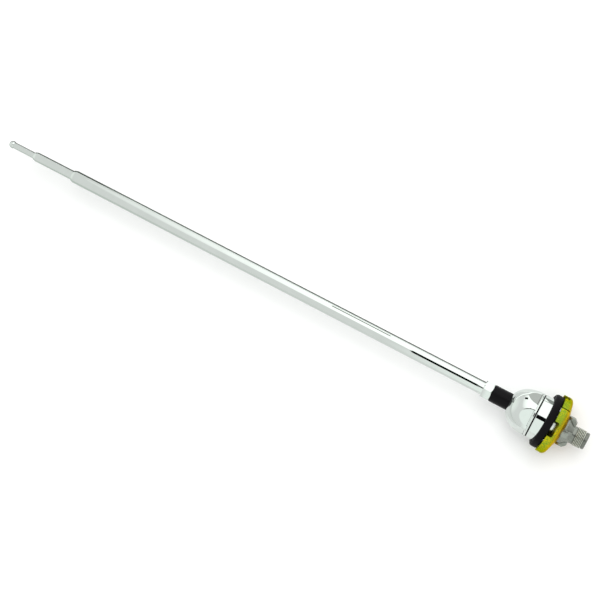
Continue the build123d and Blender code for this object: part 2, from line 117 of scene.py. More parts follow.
class AerialSizes(bpy.types.PropertyGroup):
    """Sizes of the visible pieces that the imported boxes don't give by themselves."""

    edge_round: length("Edge rounding", "Rounding of small sharp edges", 0.12)
    plate_round: length("Plate rounding", "Rounding of larger plated edges", 0.25)
    swage_length: length("Swage length", "Cone at a tube's mouth", 1.6)
    swage_round: length("Swage rounding", "Rounding where that cone begins", 1.2)
    swage_wall: length("Swage wall", "Wall at the lip of a tube's mouth", 0.4)
    tube_wall: length("Tube wall", "Wall of the mast's tubes", 0.53)
    slide_gap: length("Sliding gap", "Gap round a piece that slides", 0.05)
    tail_radius: length("Tail radius", "Rod's tail in its stop", 0.98)
    hex_apothem: length("Hexagon", "Half the width across its flats", 4.31)
    hex_height: length("Hexagon height", "Height of the ferrule's flats", 4.7)
    hex_chamfer: length("Hexagon chamfer", "Chamfer on its corners", 0.6)
    hex_turn: angle("Hexagon turn", "Direction of one corner", 252.0)
    sleeve_radius: length("Sleeve radius", "Radius of the black sleeve", 4.5)
    sleeve_round: length("Sleeve rounding", "Rounding of its upper edge", 0.4)
    sleeve_spigot: length("Sleeve spigot", "Radius of its spigot in the stub", 4.0)
    stud_radius: length("Stud radius", "Radius of the centre stud", 1.75)
    dome_radius: length("Dome radius", "Radius at the foot of the dome", 11.8)
    dome_ring: length("Dome ring", "Round ring under the flats", 0.9)
    dome_shoulder: length("Dome shoulder", "Height where the crown begins", 6.3)
    dome_inset: length("Dome inset", "Lean of the skirt at the shoulder", 0.9)
    dome_lip: length("Dome lip", "Flat lip round the sleeve", 0.95)
    lip_round: length("Lip rounding", "Rounding of that lip", 0.22)
    spanner_width: length("Spanner size", "Width across the dome's flats", 21.7)
    spanner_rim: length("Spanner rim", "Rim of a flat, smoothed with the dome", 0.6)
    spanner_turn: angle("Spanner turn", "Direction of the first flat", 239.5)
    collar_radius: length("Collar radius", "Radius of the wedge collar", 11.8)
    collar_round: length("Collar rounding", "Rounding of the upper edge", 0.3)
    collar_bore: length("Collar bore", "Radius of the hole through it", 7.3)
    spigot_radius: length("Collar spigot", "Spigot that goes through the panel", 10.1)
    spigot_drop: length("Spigot drop", "Reach below the panel's face", 4.0)
    gasket_radius: length("Gasket radius", "Outer radius of the rubber", 14.5)
    gasket_width: length("Gasket width", "Width of the rubber ring", 3.6)
    gasket_thickness: length("Gasket thickness", "Thickness of the rubber ring", 3.8)
    gasket_round: length("Gasket rounding", "Rounding of the rubber's upper edge", 1.3)
    gasket_foot: length("Gasket foot", "Rounding of the rubber's lower edge", 0.3)
    cup_radius: length("Cup radius", "Outer radius of the cup", 15.7)
    cup_depth: length("Cup depth", "Depth along its own axis", 6.9)
    cup_wall: length("Cup wall height", "Height of the upright wall", 4.3)
    cup_sheet: length("Cup sheet", "Thickness of the pressed sheet", 1.2)
    cup_bend: length("Cup bend", "Inner radius of the bend", 0.8)
    cup_hole: length("Cup hole", "Radius of the hole for the stub", 7.5)
    window_width: length("Window width", "Windows in the cup's rim", 8.3)
    window_depth: length("Window depth", "Depth of those windows", 2.5)
    window_corner: length("Window corner", "Rounding of the windows' corners", 0.8)
    window_turn: angle("Window turn", "Direction of the first window", 243.0)
    notch_width: length("Notch width", "Notches that sit on the lugs", 5.4)
    notch_depth: length("Notch depth", "Depth of those notches", 1.2)
    slit_width: length("Slit width", "Sawn slit in the cup's wall", 0.6)
    slit_turn: angle("Slit turn", "Direction of the slit", 288.5)
    key_turn: angle("Key turn", "Direction of the first lug and notch", 240.0)
    shank_radius: length("Shank radius", "Radius of the threaded shank", 7.0)
    shank_chamfer: length("Shank chamfer", "Chamfer on its upper end", 0.6)
    lug_reach: length("Lug reach", "Reach of a lug out of the shank", 1.1)
    lug_width: length("Lug width", "Width of a lug", 4.0)
    lug_height: length("Lug height", "Height of a lug", 5.3)
    lug_straight: length("Lug straight", "Upright part of a lug's face", 3.6)
    lug_bevel: length("Lug bevel", "How far a lug's end slopes in", 1.7)
    lug_round: length("Lug rounding", "Rounding of a lug's edges", 0.45)
    neck_radius: length("Neck radius", "Radius of the stub's neck", 4.55)
    neck_length: length("Neck length", "Length above the thread", 1.6)
    thread_radius: length("Thread radius", "Thread for the lead", 5.0)
    thread_length: length("Thread length", "Length with the run-in", 4.5)
    thread_pitch: length("Thread pitch", "Pitch of that thread", 0.75)
    thread_depth: length("Thread depth", "Depth of that thread", 0.42)
    groove_width: length("Groove width", "Groove under the thread", 0.35)
    groove_depth: length("Groove depth", "Depth below the thread's root", 0.4)
    end_radius: length("End radius", "Radius of the stub's end", 4.4)
    end_round: length("End rounding", "Rounding of the stub's end", 0.6)
    socket_radius: length("Socket radius", "Socket for the lead's plug", 3.4)
    socket_depth: length("Socket depth", "Depth of that socket", 5.6)
    insulator_radius: length("Insulator bore", "Bore round the contact's insulator", 2.92)
    spin_steps: IntProperty(name="Turning steps", description="Faces round other pieces", default=96, min=24)
    mast_steps: IntProperty(name="Mast steps", description="Faces round a mast section", default=64, min=24)


class AerialColours(bpy.types.PropertyGroup):
    """Colours of the finishes and of the cards."""

    chrome: colour("Chrome", "Bright chromium plate", "d0d6d2")
    chrome_haze: colour("Chrome haze", "Plate where it is handled", "c8cfca")
    sleeve: colour("Sleeve", "Black moulded nylon", "080709")
    rubber: colour("Rubber", "Black moulded rubber", "09080a")
    rubber_bloom: colour("Rubber bloom", "Pale bloom on the rubber", "121113")
    zinc_green: colour("Passivate green", "Thin passivated film", "7d9426")
    zinc_yellow: colour("Passivate yellow", "Middling passivated film", "bcae14")
    zinc_orange: colour("Passivate orange", "Thick passivated film", "d69c14")
    zinc_glance: colour("Zinc at a glance", "Cup's film seen along its surface", "e6dc96")
    casting: colour("Casting", "Bare die-cast zinc", "9da29a")
    # Also the colour of the painted shade between the lugs and in the thread's valleys.
    casting_skin_and_shade: colour("Casting skin", "Darker skin of the casting", "6c6f68")
    # Paler cut zinc, also set bright as the painted highlight on the thread's crests.
    casting_cut_and_highlight: colour("Cut casting", "Zinc laid bare by the thread cutter", "e6e9dd")
    brass: colour("Brass", "Turned brass", "c9a45a")
    brass_tarnish: colour("Brass tarnish", "Tarnished brass", "9c7a3a")
    acetal: colour("Acetal", "White turned acetal", "e3e2da")
    paper: colour("Paper", "White paper under the aerial", "fcfdfc")
    dark_card: colour("Dark card", "Card round the camera", "0c0d0d")
    tip_card: colour("Tip card", "Ceiling beyond the tip", "f1f4f1")
    far_card: colour("Far card", "Grey table beyond the paper", "dde3de")
    side_card: colour("Side card", "Grey table beside the paper", "dededc")
    left_card: colour("Left card", "Pale wall on the left", "eaeeec")
    collar_card: colour("Collar card", "Grey far side of the table", "a6aaa6")
    edge_card: colour("Edge card", "Dark edge of the paper", "585b58")


class AerialStage(bpy.types.PropertyGroup):
    """Camera and light."""

    lens: FloatProperty(name="Lens", description="Focal length at 36 mm", default=78.0, unit="CAMERA")
    foot_across: FloatProperty(name="Foot across", description="Origin in the picture", default=549.5)
    foot_down: FloatProperty(name="Foot down", description="Origin in the picture", default=422.65)
    foot_distance: length("Foot distance", "Distance from the camera", 650)
    mast_turn: angle("Mast turn", "Slope of the mast in the picture", 27.455)
    mast_lean: angle("Mast lean", "Lean away from the camera", 11.9)
    view_turn: angle("View turn", "Turn of the aerial about its mast", 18.0)
    key_power: FloatProperty(name="Key power", description="Soft lamp's power in watts", default=3.6)
    key_width: length("Key width", "Width of the soft lamp", 800)
    key_height: length("Key height", "Height of the soft lamp", 500)
    key_distance: length("Key distance", "Distance in front of the mast", 840)
    key_aside: length("Key aside", "Distance to the right", 310)
    key_level: length("Key level", "Height of the lamp and of what it faces", 60)
    fill: FloatProperty(name="Fill", description="Level of the light from all round", default=0.86)


def rounded(outline):
    """Outline with the corners that carry a third number, their radius, turned into short arcs."""
    points = []
    count = len(outline)
    for index, corner in enumerate(outline):
        here = Vector(corner[:2])
        if len(corner) < 3:
            points.append(here)
            continue
        back = (Vector(outline[index - 1][:2]) - here).normalized()
        on = (Vector(outline[(index + 1) % count][:2]) - here).normalized()
        half = back.angle(on) / 2
        centre = here + (back + on).normalized() * corner[2] / sin(half)
        start = here + back * corner[2] / tan(half) - centre
        sweep = start.angle_signed(here + on * corner[2] / tan(half) - centre)
        steps = max(2, ceil(abs(sweep) / radians(12)))
        for step in range(steps + 1):
            points.append(centre + Matrix.Rotation(-sweep * step / steps, 2) @ start)
    return points


def tangent_arc(start, heading, end, steps):
    """Points after start on the arc that leaves it along heading and reaches end, and the heading there."""
    start, end = Vector(start), Vector(end)
    chord = end - start
    turn = heading.angle_signed(chord)
    centre = start + Matrix.Rotation(-copysign(pi / 2, turn), 2) @ heading.normalized() * (
        chord.length / (2 * sin(abs(turn)))
    )
    spoke = start - centre
    points = [centre + Matrix.Rotation(-2 * turn * step / steps, 2) @ spoke for step in range(1, steps + 1)]
    return points, Matrix.Rotation(-2 * turn, 2) @ heading


def only(piece):
    """Select one piece alone and make it the active one."""
    bpy.ops.object.select_all(action="DESELECT")
    piece.select_set(True)
    bpy.context.view_layer.objects.active = piece


def edit(piece):
    """Select one piece alone and open its whole mesh for editing."""
    only(piece)
    bpy.ops.object.mode_set(mode="EDIT")
    bpy.ops.mesh.select_mode(type="VERT")
    bpy.ops.mesh.select_all(action="SELECT")


def close_up():
    """Merge doubled points, turn the faces outwards and leave edit mode."""
    bpy.ops.mesh.select_all(action="SELECT")
    bpy.ops.mesh.remove_doubles(threshold=SEAM)
    bpy.ops.mesh.normals_make_consistent(inside=False)
    bpy.ops.object.mode_set(mode="OBJECT")


def named(name):
    """Name the object that was just added."""
    piece = bpy.context.object
    piece.name = piece.data.name = name
    return piece


def settled(name):
    """Name the mesh that was just added, and apply its place, turn and size."""
    bpy.ops.object.transform_apply()
    return named(name)


def block(name, size, place):
    """Box given by its size and its middle."""
    bpy.ops.mesh.primitive_cube_add(size=1, location=place)
    bpy.context.object.scale = size
    return settled(name)


def bar(name, sides, radius, depth, place, turn):
    """Bar with a number of sides, given by its middle and turned from upright."""
    bpy.ops.mesh.primitive_cylinder_add(
        vertices=sides, radius=radius, depth=depth, location=place, rotation=turn
    )
    return settled(name)


def drawn(name, points):
    """Line from point to point as a new mesh, left open for editing."""
    bpy.ops.mesh.primitive_plane_add(size=MM)
    piece = named(name)
    edit(piece)
    bpy.ops.mesh.merge(type="CENTER")
    bpy.ops.transform.translate(value=points[0])
    for before, after in zip(points, points[1:]):
        bpy.ops.mesh.extrude_vertices_move(TRANSFORM_OT_translate={"value": after - before})
    bpy.ops.mesh.select_all(action="SELECT")
    bpy.ops.mesh.remove_doubles(threshold=SAME_POINT)
    return piece


def turned(name, outline, steps):
    """Half section turned about the mast axis: drawn from point to point, then spun."""
    points = [Vector((point[0], 0, point[1])) for point in rounded(outline)]
    if points[0].x > 0 or points[-1].x > 0:
        points.append(points[0])
    piece = drawn(name, points)
    bpy.ops.mesh.spin(steps=steps, angle=tau, center=(0, 0, 0), axis=UP)
    close_up()
    return piece


def cut_off(place, square, **side):
    """Cut the open mesh along a plane, clear the side that is named and close the cut."""
    bpy.ops.mesh.select_all(action="SELECT")
    bpy.ops.mesh.bisect(plane_co=place, plane_no=square, use_fill=True, threshold=SAME_POINT, **side)


def pick(piece, kind, test):
    """Select only the edges or the faces of the open mesh that pass a test."""
    bpy.ops.mesh.select_all(action="DESELECT")
    bpy.ops.object.mode_set(mode="OBJECT")
    for part in piece.data.edges if kind == "EDGE" else piece.data.polygons:
        part.select = test(part)
    bpy.ops.object.mode_set(mode="EDIT")
    bpy.ops.mesh.select_mode(type=kind)


def modify(piece, kind, **settings):
    """Give a piece a modifier with its settings, and apply it."""
    modifier = piece.modifiers.new(kind, kind)
    for name, value in settings.items():
        setattr(modifier, name, value)
    bpy.context.view_layer.objects.active = piece
    bpy.ops.object.modifier_apply(modifier=modifier.name)


def combine(piece, other, operation):
    """Cut a piece with another one, or keep what they share, and use the other one up."""
    modify(piece, "BOOLEAN", operation=operation, solver="EXACT", object=other)
    bpy.data.objects.remove(other)


def joined(piece, *others):
    """Join other pieces into one mesh."""
    only(piece)
    for other in others:
        other.select_set(True)
    bpy.ops.object.join()
    return piece


def ring_of(piece, count, first):
    """Turn a piece to its first direction and copy it round the axis, as one mesh."""
    copies = [piece.copy() for number in range(count - 1)]
    for copy in copies:
        copy.data = piece.data.copy()
        bpy.context.scene.collection.objects.link(copy)
    only(piece)
    for number, copy in enumerate([*copies, piece]):
        copy.rotation_euler = (0, 0, first + tau * number / count)
        copy.select_set(True)
    bpy.ops.object.transform_apply()
    return joined(piece, *copies)


def seated(piece, height=0.0):
    """Tilt a piece made upright so that it lies with the panel, and set it on the mast axis."""
    only(piece)
    piece.rotation_euler = (panel_slope(), 0, 0)
    piece.location = UP * height
    bpy.ops.object.transform_apply()


def soften(piece, width, least, segments=2):
    """Bevel every edge that is sharper than an angle."""
    limit = radians(least)
    modify(piece, "BEVEL", limit_method="ANGLE", angle_limit=limit, width=width, segments=segments)


def dress(piece, body, node, recipe):
    """Smooth a piece, give it its finish and let it ride for its solid."""
    only(piece)
    bpy.ops.object.shade_smooth_by_angle(angle=radians(30))
    piece.data.materials.clear()
    piece.data.materials.append(finish_of(recipe))
    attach(piece, body)
    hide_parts(node)


def add(tree, kind, inputs=(), **settings):
    """Add a node with its settings, values and links."""
    made = tree.nodes.new(kind)
    for name, value in settings.items():
        setattr(made, name, value)
    for name, value in dict(inputs).items():
        socket = made.inputs[name]
        if isinstance(value, bpy.types.NodeSocket):
            tree.links.new(value, socket)
        else:
            socket.default_value = value
    return made


def noise(place, size, detail):
    """Noise pattern scaled by a size in metres."""
    inputs = {"Vector": place, "Scale": 1 / size, "Detail": detail}
    return add(place.id_data, "ShaderNodeTexNoise", inputs).outputs["Fac"]


def rings(place, step, waver):
    """Rings of a turning tool along the mast, scaled by a step in metres."""
    inputs = {"Vector": place, "Scale": 1 / (tau * step), "Distortion": waver}
    return add(place.id_data, "ShaderNodeTexWave", inputs, bands_direction="Z").outputs["Fac"]


def along(place, way):
    """How far a place lies along a direction."""
    inputs = {0: place, 1: way}
    return add(place.id_data, "ShaderNodeVectorMath", inputs, operation="DOT_PRODUCT").outputs["Value"]


def distance(place, ways):
    """Distance from the origin, measured only along some of the three ways."""
    part = add(place.id_data, "ShaderNodeVectorMath", {0: place, 1: ways}, operation="MULTIPLY").outputs[0]
    return add(place.id_data, "ShaderNodeVectorMath", {0: part}, operation="LENGTH").outputs["Value"]


def reckon(operation, *values):
    """Result of a sum on values, of which the first is another node's."""
    return add(values[0].id_data, "ShaderNodeMath", dict(enumerate(values)), operation=operation).outputs[0]


def ranged(value, start, end, first=0.0, last=1.0):
    """Value that goes from first to last while another one goes from start to end."""
    inputs = {"Value": value, "From Min": start, "From Max": end, "To Min": first, "To Max": last}
    return add(value.id_data, "ShaderNodeMapRange", inputs).outputs["Result"]


def blend(factor, first, second):
    """Colour between two others."""
    inputs = {"Factor": factor, "A": first, "B": second}
    return add(factor.id_data, "ShaderNodeMix", inputs, data_type="RGBA").outputs["Result"]


def relief(height, strength, depth):
    """Fine relief from a pattern."""
    inputs = {"Height": height, "Strength": strength, "Distance": depth}
    return add(height.id_data, "ShaderNodeBump", inputs).outputs["Normal"]


def surface(name, shader):
    """Material with one shader, which a function adds to its empty tree."""
    finish = bpy.data.materials.new(name)
    finish.use_nodes = True
    tree = finish.node_tree
    tree.nodes.clear()
    add(tree, "ShaderNodeOutputMaterial", {"Surface": shader(tree).outputs[0]})
    return finish


def finish_of(recipe):
    """Material named for its recipe, made the first time that a piece asks for it."""

    def shader(tree):
        place = add(tree, "ShaderNodeTexCoord").outputs["Object"]
        return add(tree, "ShaderNodeBsdfPrincipled", recipe(place, bpy.context.scene.aerial_colours))

    return bpy.data.materials.get(recipe.__name__) or surface(recipe.__name__, shader)


def chromium_plate(place, colours):
    """Bright chromium plate: mirror-like, faintly hazed in patches."""
    haze = noise(place, 6 * MM, 3.0)
    # Below the panel the plate was never buffed, so it is duller there.
    dull = ranged(along(place, UP), -1.0 * MM, 1.5 * MM, 0.16, 0.012)
    return {
        "Base Color": blend(haze, colours.chrome, colours.chrome_haze),
        "Metallic": 1.0,
        "Roughness": reckon("MULTIPLY_ADD", haze, 0.025, dull),
        "Normal": relief(noise(place, 0.5 * MM, 2.0), 0.02, 0.02 * MM),
    }


def black_nylon(place, colours):
    """Black moulded nylon: near black, a faint sheen and a fine moulded grain."""
    return {
        "Base Color": colours.sleeve,
        "Roughness": ranged(noise(place, 4 * MM, 4.0), 0.0, 1.0, 0.3, 0.46),
        "IOR": 1.53,
        "Specular IOR Level": 0.08,
        "Normal": relief(noise(place, 0.25 * MM, 2.0), 0.12, 0.03 * MM),
    }


def black_rubber(place, colours):
    """Black moulded rubber: matt, with a pale bloom in patches and a fine tooth."""
    return {
        "Base Color": blend(noise(place, 5 * MM, 4.0), colours.rubber, colours.rubber_bloom),
        "Roughness": 0.6,
        "IOR": 1.52,
        "Specular IOR Level": 0.06,
        "Normal": relief(noise(place, 0.3 * MM, 3.0), 0.25, 0.05 * MM),
    }


def yellow_passivated_zinc(place, colours):
    """Yellow passivated zinc on pressed steel: satin metal under a film whose thickness shifts its hue."""
    grain = noise(place, 0.7 * MM, 3.0)
    film = ranged(reckon("ADD", noise(place, 9 * MM, 2.0), grain), 0.9, 1.12)
    body = blend(film, colours.zinc_green, colours.zinc_yellow)
    # The film gathers where the plating bath drained, along the low edge of the cup.
    drained = ranged(along(place, panel_square()), -5.8 * MM, -2.6 * MM, 0.85, 0.0)
    return {
        "Base Color": blend(drained, body, colours.zinc_orange),
        "Metallic": 1.0,
        "Roughness": ranged(grain, 0.0, 1.0, 0.18, 0.4),
        # The dyed film keeps some of its colour at a glancing angle.
        "Specular Tint": colours.zinc_glance,
        "Normal": relief(grain, 0.2, 0.04 * MM),
    }


def die_cast_zinc(place, colours):
    """Bare die-cast zinc: dull grey with a mottled cast skin, with a painted highlight on the lugs' faces
    and painted shade on the body between them, and a thread of paler cut zinc with painted highlight on its
    crests and painted shade in its valleys.
    """
    flow = noise(place, 2.5 * MM, 4.0)
    radius = distance(place, (1, 1, 0))
    # Painted shade: the body between the lugs is darkened, so the lugs' faces stand out paler as a painted
    # highlight.
    sunk = ranged(radius, 7.9 * MM, 7.1 * MM, 0.0, 0.4)
    skin = blend(reckon("MULTIPLY_ADD", flow, 0.6, sunk), colours.casting, colours.casting_skin_and_shade)
    # Painted shade in the thread's valleys and on the narrower end below it, and a painted highlight on its
    # crests, which take the paler cut zinc.
    crest = ranged(radius, 4.6 * MM, 4.95 * MM)
    thread = blend(crest, colours.casting_skin_and_shade, colours.casting_cut_and_highlight)
    cut = ranged(along(place, UP), -13.2 * MM, -13.9 * MM, 0.0, 0.9)
    return {
        "Base Color": blend(cut, skin, thread),
        "Metallic": 0.85,
        "Roughness": ranged(flow, 0.0, 1.0, 0.18, 0.34),
        "Normal": relief(noise(place, 0.4 * MM, 2.0), 0.15, 0.05 * MM),
    }


def turned_brass(place, colours):
    """Turned brass: yellow metal with fine rings from the tool and a little tarnish."""
    return {
        "Base Color": blend(noise(place, 2 * MM, 4.0), colours.brass, colours.brass_tarnish),
        "Metallic": 1.0,
        "Roughness": 0.3,
        "Normal": relief(rings(place, 0.12 * MM, 0.4), 0.15, 0.02 * MM),
    }


def white_acetal(place, colours):
    """White turned acetal: waxy off-white with faint tool rings."""
    return {
        "Base Color": colours.acetal,
        "Roughness": 0.45,
        "IOR": 1.48,
        "Normal": relief(rings(place, 0.15 * MM, 0.3), 0.12, 0.02 * MM),
    }


class AERIAL_OT_mast(bpy.types.Operator):
    """Make the three sections of the mast and the bead on its tip"""

    bl_idname = "aerial.mast"
    bl_label = "Mast sections"

    def execute(self, context):
        sizes = context.scene.aerial_sizes
        rod_low, rod_top, rod = span("tip_rod")
        outline = self.bead_outline(0.98 * rod, rod_top, 18)
        bead = turned("mast_bead", outline, sizes.mast_steps)
        dress(bead, "tip", "tip_bead", chromium_plate)

        tail, tail_top = sizes.tail_radius, span("tip_stop").top
        outline = [
            (0, rod_low), (tail, rod_low), (tail, tail_top), (rod, tail_top),
            (rod, rod_top, sizes.edge_round), (0, rod_top),
        ]
        section = turned("mast_tip_rod", outline, sizes.mast_steps)
        dress(section, "tip", "tip_rod", chromium_plate)

        for name, body, node, inner in (
            ("mast_middle_tube", "middle", "middle_tube", "tip_rod"),
            ("mast_outer_tube", "stub", "outer_tube", "middle_tube"),
        ):
            tube = turned(name, self.tube_outline(node, inner, sizes), sizes.mast_steps)
            dress(tube, body, node, chromium_plate)
        return {"FINISHED"}

    def bead_outline(self, seat, low, steps):
        """Half section of the ball on the tip, cut flat where it sits on the rod."""
        bead = span("tip_bead")
        centre = bead.top - bead.radius
        first = asin((low - centre) / bead.radius)
        turns = [first + (pi / 2 - first) * step / steps for step in range(steps)]
        arc = [(bead.radius * cos(turn), centre + bead.radius * sin(turn)) for turn in turns]
        return [(0, low), (seat, low), *arc, (0, bead.top)]

    def tube_outline(self, node, inner, sizes):
        """Half section of a drawn tube whose swaged mouth closes on the section inside it."""
        low, mouth, radius = span(node)
        bore = radius - sizes.tube_wall
        mouth_bore = span(inner).radius + sizes.slide_gap
        shoulder = mouth - sizes.swage_length
        lip = mouth - 0.1 * MM
        return [
            (bore, low), (radius, low), (radius, shoulder, sizes.swage_round),
            (mouth_bore + sizes.swage_wall, lip, 0.15 * MM),
            (mouth_bore + sizes.swage_wall / 2, mouth, 0.08 * MM),
            (mouth_bore, lip), (mouth_bore, mouth - sizes.swage_length / 2), (bore, shoulder),
        ]


class AERIAL_OT_ferrule(bpy.types.Operator):
    """Make the hexagonal ferrule at the foot of the mast"""

    bl_idname = "aerial.ferrule"
    bl_label = "Hex ferrule"

    def execute(self, context):
        sizes = context.scene.aerial_sizes
        low, top, _ = span("hex_ferrule")
        high = low + sizes.hex_height
        corner = sizes.hex_apothem / cos(pi / 6)
        turn = (0, 0, sizes.hex_turn - pi / 2)
        ferrule = bar("foot_ferrule", 6, corner, sizes.hex_height, UP * (low + high) / 2, turn)
        cut = sizes.hex_chamfer
        clear, past = corner * 1.01, cut * 1.1
        outline = [
            (0, low - MM), (corner - cut - MM, low - MM), (corner, low + cut), (clear, low + past),
            (clear, high - past), (corner, high - cut), (corner - cut - MM, high + MM), (0, high + MM),
        ]
        combine(ferrule, turned("ferrule_chamfer", outline, sizes.spin_steps), "INTERSECT")
        soften(ferrule, sizes.edge_round, 18)
        press = 0.02 * MM
        bore = span("outer_tube").radius - sizes.tube_wall - press
        spigot = turned("ferrule_spigot", [(0, high - MM), (bore, high - MM), (bore, top), (0, top)], 48)
        joined(ferrule, spigot)
        dress(ferrule, "stub", "hex_ferrule", chromium_plate)
        return {"FINISHED"}


class AERIAL_OT_sleeve(bpy.types.Operator):
    """Make the black insulator sleeve with its hidden flange"""

    bl_idname = "aerial.sleeve"
    bl_label = "Insulator sleeve"

    def execute(self, context):
        sizes = context.scene.aerial_sizes
        low, high, wide = span("insulator_sleeve")
        shank, flange = span("stub_body").top, span("sleeve_seal").low
        outline = [
            (sizes.stud_radius, low), (sizes.sleeve_spigot, low), (sizes.sleeve_spigot, shank),
            (wide, shank), (wide, flange), (sizes.sleeve_radius, flange),
            (sizes.sleeve_radius, high, sizes.sleeve_round), (sizes.stud_radius, high),
        ]
        sleeve = turned("foot_sleeve", outline, sizes.spin_steps)
        dress(sleeve, "stub", "insulator_sleeve", black_nylon)
        return {"FINISHED"}


class AERIAL_OT_dome(bpy.types.Operator):
    """Make the dome nut: a turned dome whose six flats run out into it as arches"""

    bl_idname = "aerial.dome"
    bl_label = "Dome nut"

    def execute(self, context):
        sizes = context.scene.aerial_sizes
        steps = 2 * sizes.spin_steps
        low, crown, wide = span("dome_nut")
        ring_top = low + sizes.dome_ring
        hole = sizes.sleeve_radius + sizes.slide_gap
        lip = hole + sizes.dome_lip
        shoulder = (sizes.dome_radius - sizes.dome_inset, ring_top + sizes.dome_shoulder)
        skirt, heading = tangent_arc((sizes.dome_radius, ring_top), Vector((0, 1)), shoulder, 14)
        cap, heading = tangent_arc(shoulder, heading, (lip, crown), 22)
        outline = [
            (hole, ring_top), (sizes.dome_radius, ring_top), *[tuple(point) for point in skirt + cap[:-1]],
            (lip, crown, sizes.lip_round), (hole, crown),
        ]
        dome = turned("foot_dome_nut", outline, steps)
        edit(dome)
        for number in range(6):
            turn = sizes.spanner_turn + tau * number / 6
            out = Vector((cos(turn), sin(turn), 0))
            cut_off(out * sizes.spanner_width / 2 + UP * ring_top, out, clear_outer=True)
        sliver, least_flat = 0.03 * MM, (4 * MM) ** 2
        bpy.ops.mesh.select_all(action="SELECT")
        bpy.ops.mesh.remove_doubles(threshold=sliver)
        # The plate rounds the arches over, so each flat gets a rim that is smoothed with the dome.
        pick(dome, "FACE", lambda face: face.area > least_flat)
        bpy.ops.mesh.inset(thickness=sizes.spanner_rim)
        bpy.ops.object.mode_set(mode="OBJECT")
        edge = sizes.plate_round
        outline = [(hole, low), (wide, low, edge), (wide, ring_top, edge), (hole, ring_top)]
        joined(dome, turned("dome_ring", outline, steps))
        dress(dome, "dome", "dome_nut", chromium_plate)
        return {"FINISHED"}


class AERIAL_OT_collar(bpy.types.Operator):
    """Make the wedge collar and the spigot that goes through the panel"""

    bl_idname = "aerial.collar"
    bl_label = "Wedge collar"

    def execute(self, context):
        sizes = context.scene.aerial_sizes
        bore, wide, high = sizes.collar_bore, sizes.collar_radius, span("wedge_collar").top
        outline = [(bore, -MM), (wide, -MM), (wide, high, sizes.collar_round), (bore, high)]
        collar = self.sloped("foot_wedge_collar", outline, 2 * sizes.spin_steps, sizes.gasket_thickness)
        wide, low, inside = sizes.spigot_radius, -2 * sizes.spigot_drop, high - MM
        outline = [(bore, low), (wide, low), (wide, inside), (bore, inside)]
        spigot = self.sloped("collar_spigot", outline, sizes.spin_steps, -sizes.spigot_drop)
        soften(spigot, sizes.plate_round, 60)
        joined(collar, spigot)
        dress(collar, "wedge", "wedge_collar", chromium_plate)
        return {"FINISHED"}

    def sloped(self, name, outline, steps, height):
        """Turned piece whose foot is cut off along the panel, at a height above it."""
        piece = turned(name, outline, steps)
        edit(piece)
        cut_off(UP * (height / cos(panel_slope())), panel_square(), clear_inner=True)
        bpy.ops.object.mode_set(mode="OBJECT")
        return piece


class AERIAL_OT_gasket(bpy.types.Operator):
    """Make the rubber gasket that lies on the panel"""

    bl_idname = "aerial.gasket"
    bl_label = "Gasket"

    def execute(self, context):
        sizes = context.scene.aerial_sizes
        wide, high = sizes.gasket_radius, sizes.gasket_thickness
        bore = wide - sizes.gasket_width
        outline = [(bore, 0), (wide, 0, sizes.gasket_foot), (wide, high, sizes.gasket_round), (bore, high)]
        gasket = turned("foot_gasket", outline, sizes.spin_steps)
        seated(gasket)
        dress(gasket, "wedge", "gasket", black_rubber)
        return {"FINISHED"}


class AERIAL_OT_cup(bpy.types.Operator):
    """Make the pressed claw cup with its windows, notches and slit"""

    bl_idname = "aerial.cup"
    bl_label = "Claw cup"

    def execute(self, context):
        sizes = context.scene.aerial_sizes
        radius, deep, sheet = sizes.cup_radius, sizes.cup_depth, sizes.cup_sheet
        bend = deep - sizes.cup_wall
        slope = bend / (radius - sizes.cup_hole)
        rise = sheet * sqrt(1 + slope * slope)
        outline = [
            (radius, deep), (radius, bend, sizes.cup_bend + sheet), (sizes.cup_hole, 0),
            (sizes.cup_hole, rise), (radius - sheet, bend - sheet * slope + rise, sizes.cup_bend),
            (radius - sheet, deep),
        ]
        cup = turned("foot_claw_cup", outline, sizes.spin_steps)
        reach, rim = 10 * MM, (radius, 0, deep)
        window = block("window_cutter", (reach, sizes.window_width, 2 * sizes.window_depth), rim)

        def along_foot(edge):
            """Whether an edge of the window's cutter runs inwards along its foot."""
            first, last = (window.data.vertices[index].co for index in edge.vertices)
            return abs(first.x - last.x) > MM and first.z < deep

        edit(window)
        pick(window, "EDGE", along_foot)
        bpy.ops.mesh.bevel(offset=sizes.window_corner, segments=4)
        close_up()
        notch_radius = (sizes.notch_width**2 / 4 + sizes.notch_depth**2) / (2 * sizes.notch_depth)
        place = (reach + sizes.cup_hole / 2, 0, sizes.notch_depth - notch_radius)
        notch = bar("notch_cutter", 64, notch_radius, 2 * reach, place, (0, pi / 2, 0))
        slit = block("slit_cutter", (reach, sizes.slit_width, 2 * sizes.cup_wall), rim)
        for cutter, count, first in (
            (window, 4, sizes.window_turn), (notch, 4, sizes.key_turn), (slit, 1, sizes.slit_turn)
        ):
            combine(cup, ring_of(cutter, count, first), "DIFFERENCE")
        soften(cup, sizes.edge_round, 38)
        seated(cup, -deep / cos(panel_slope()))
        dress(cup, "stub", "claw_cup", yellow_passivated_zinc)
        return {"FINISHED"}


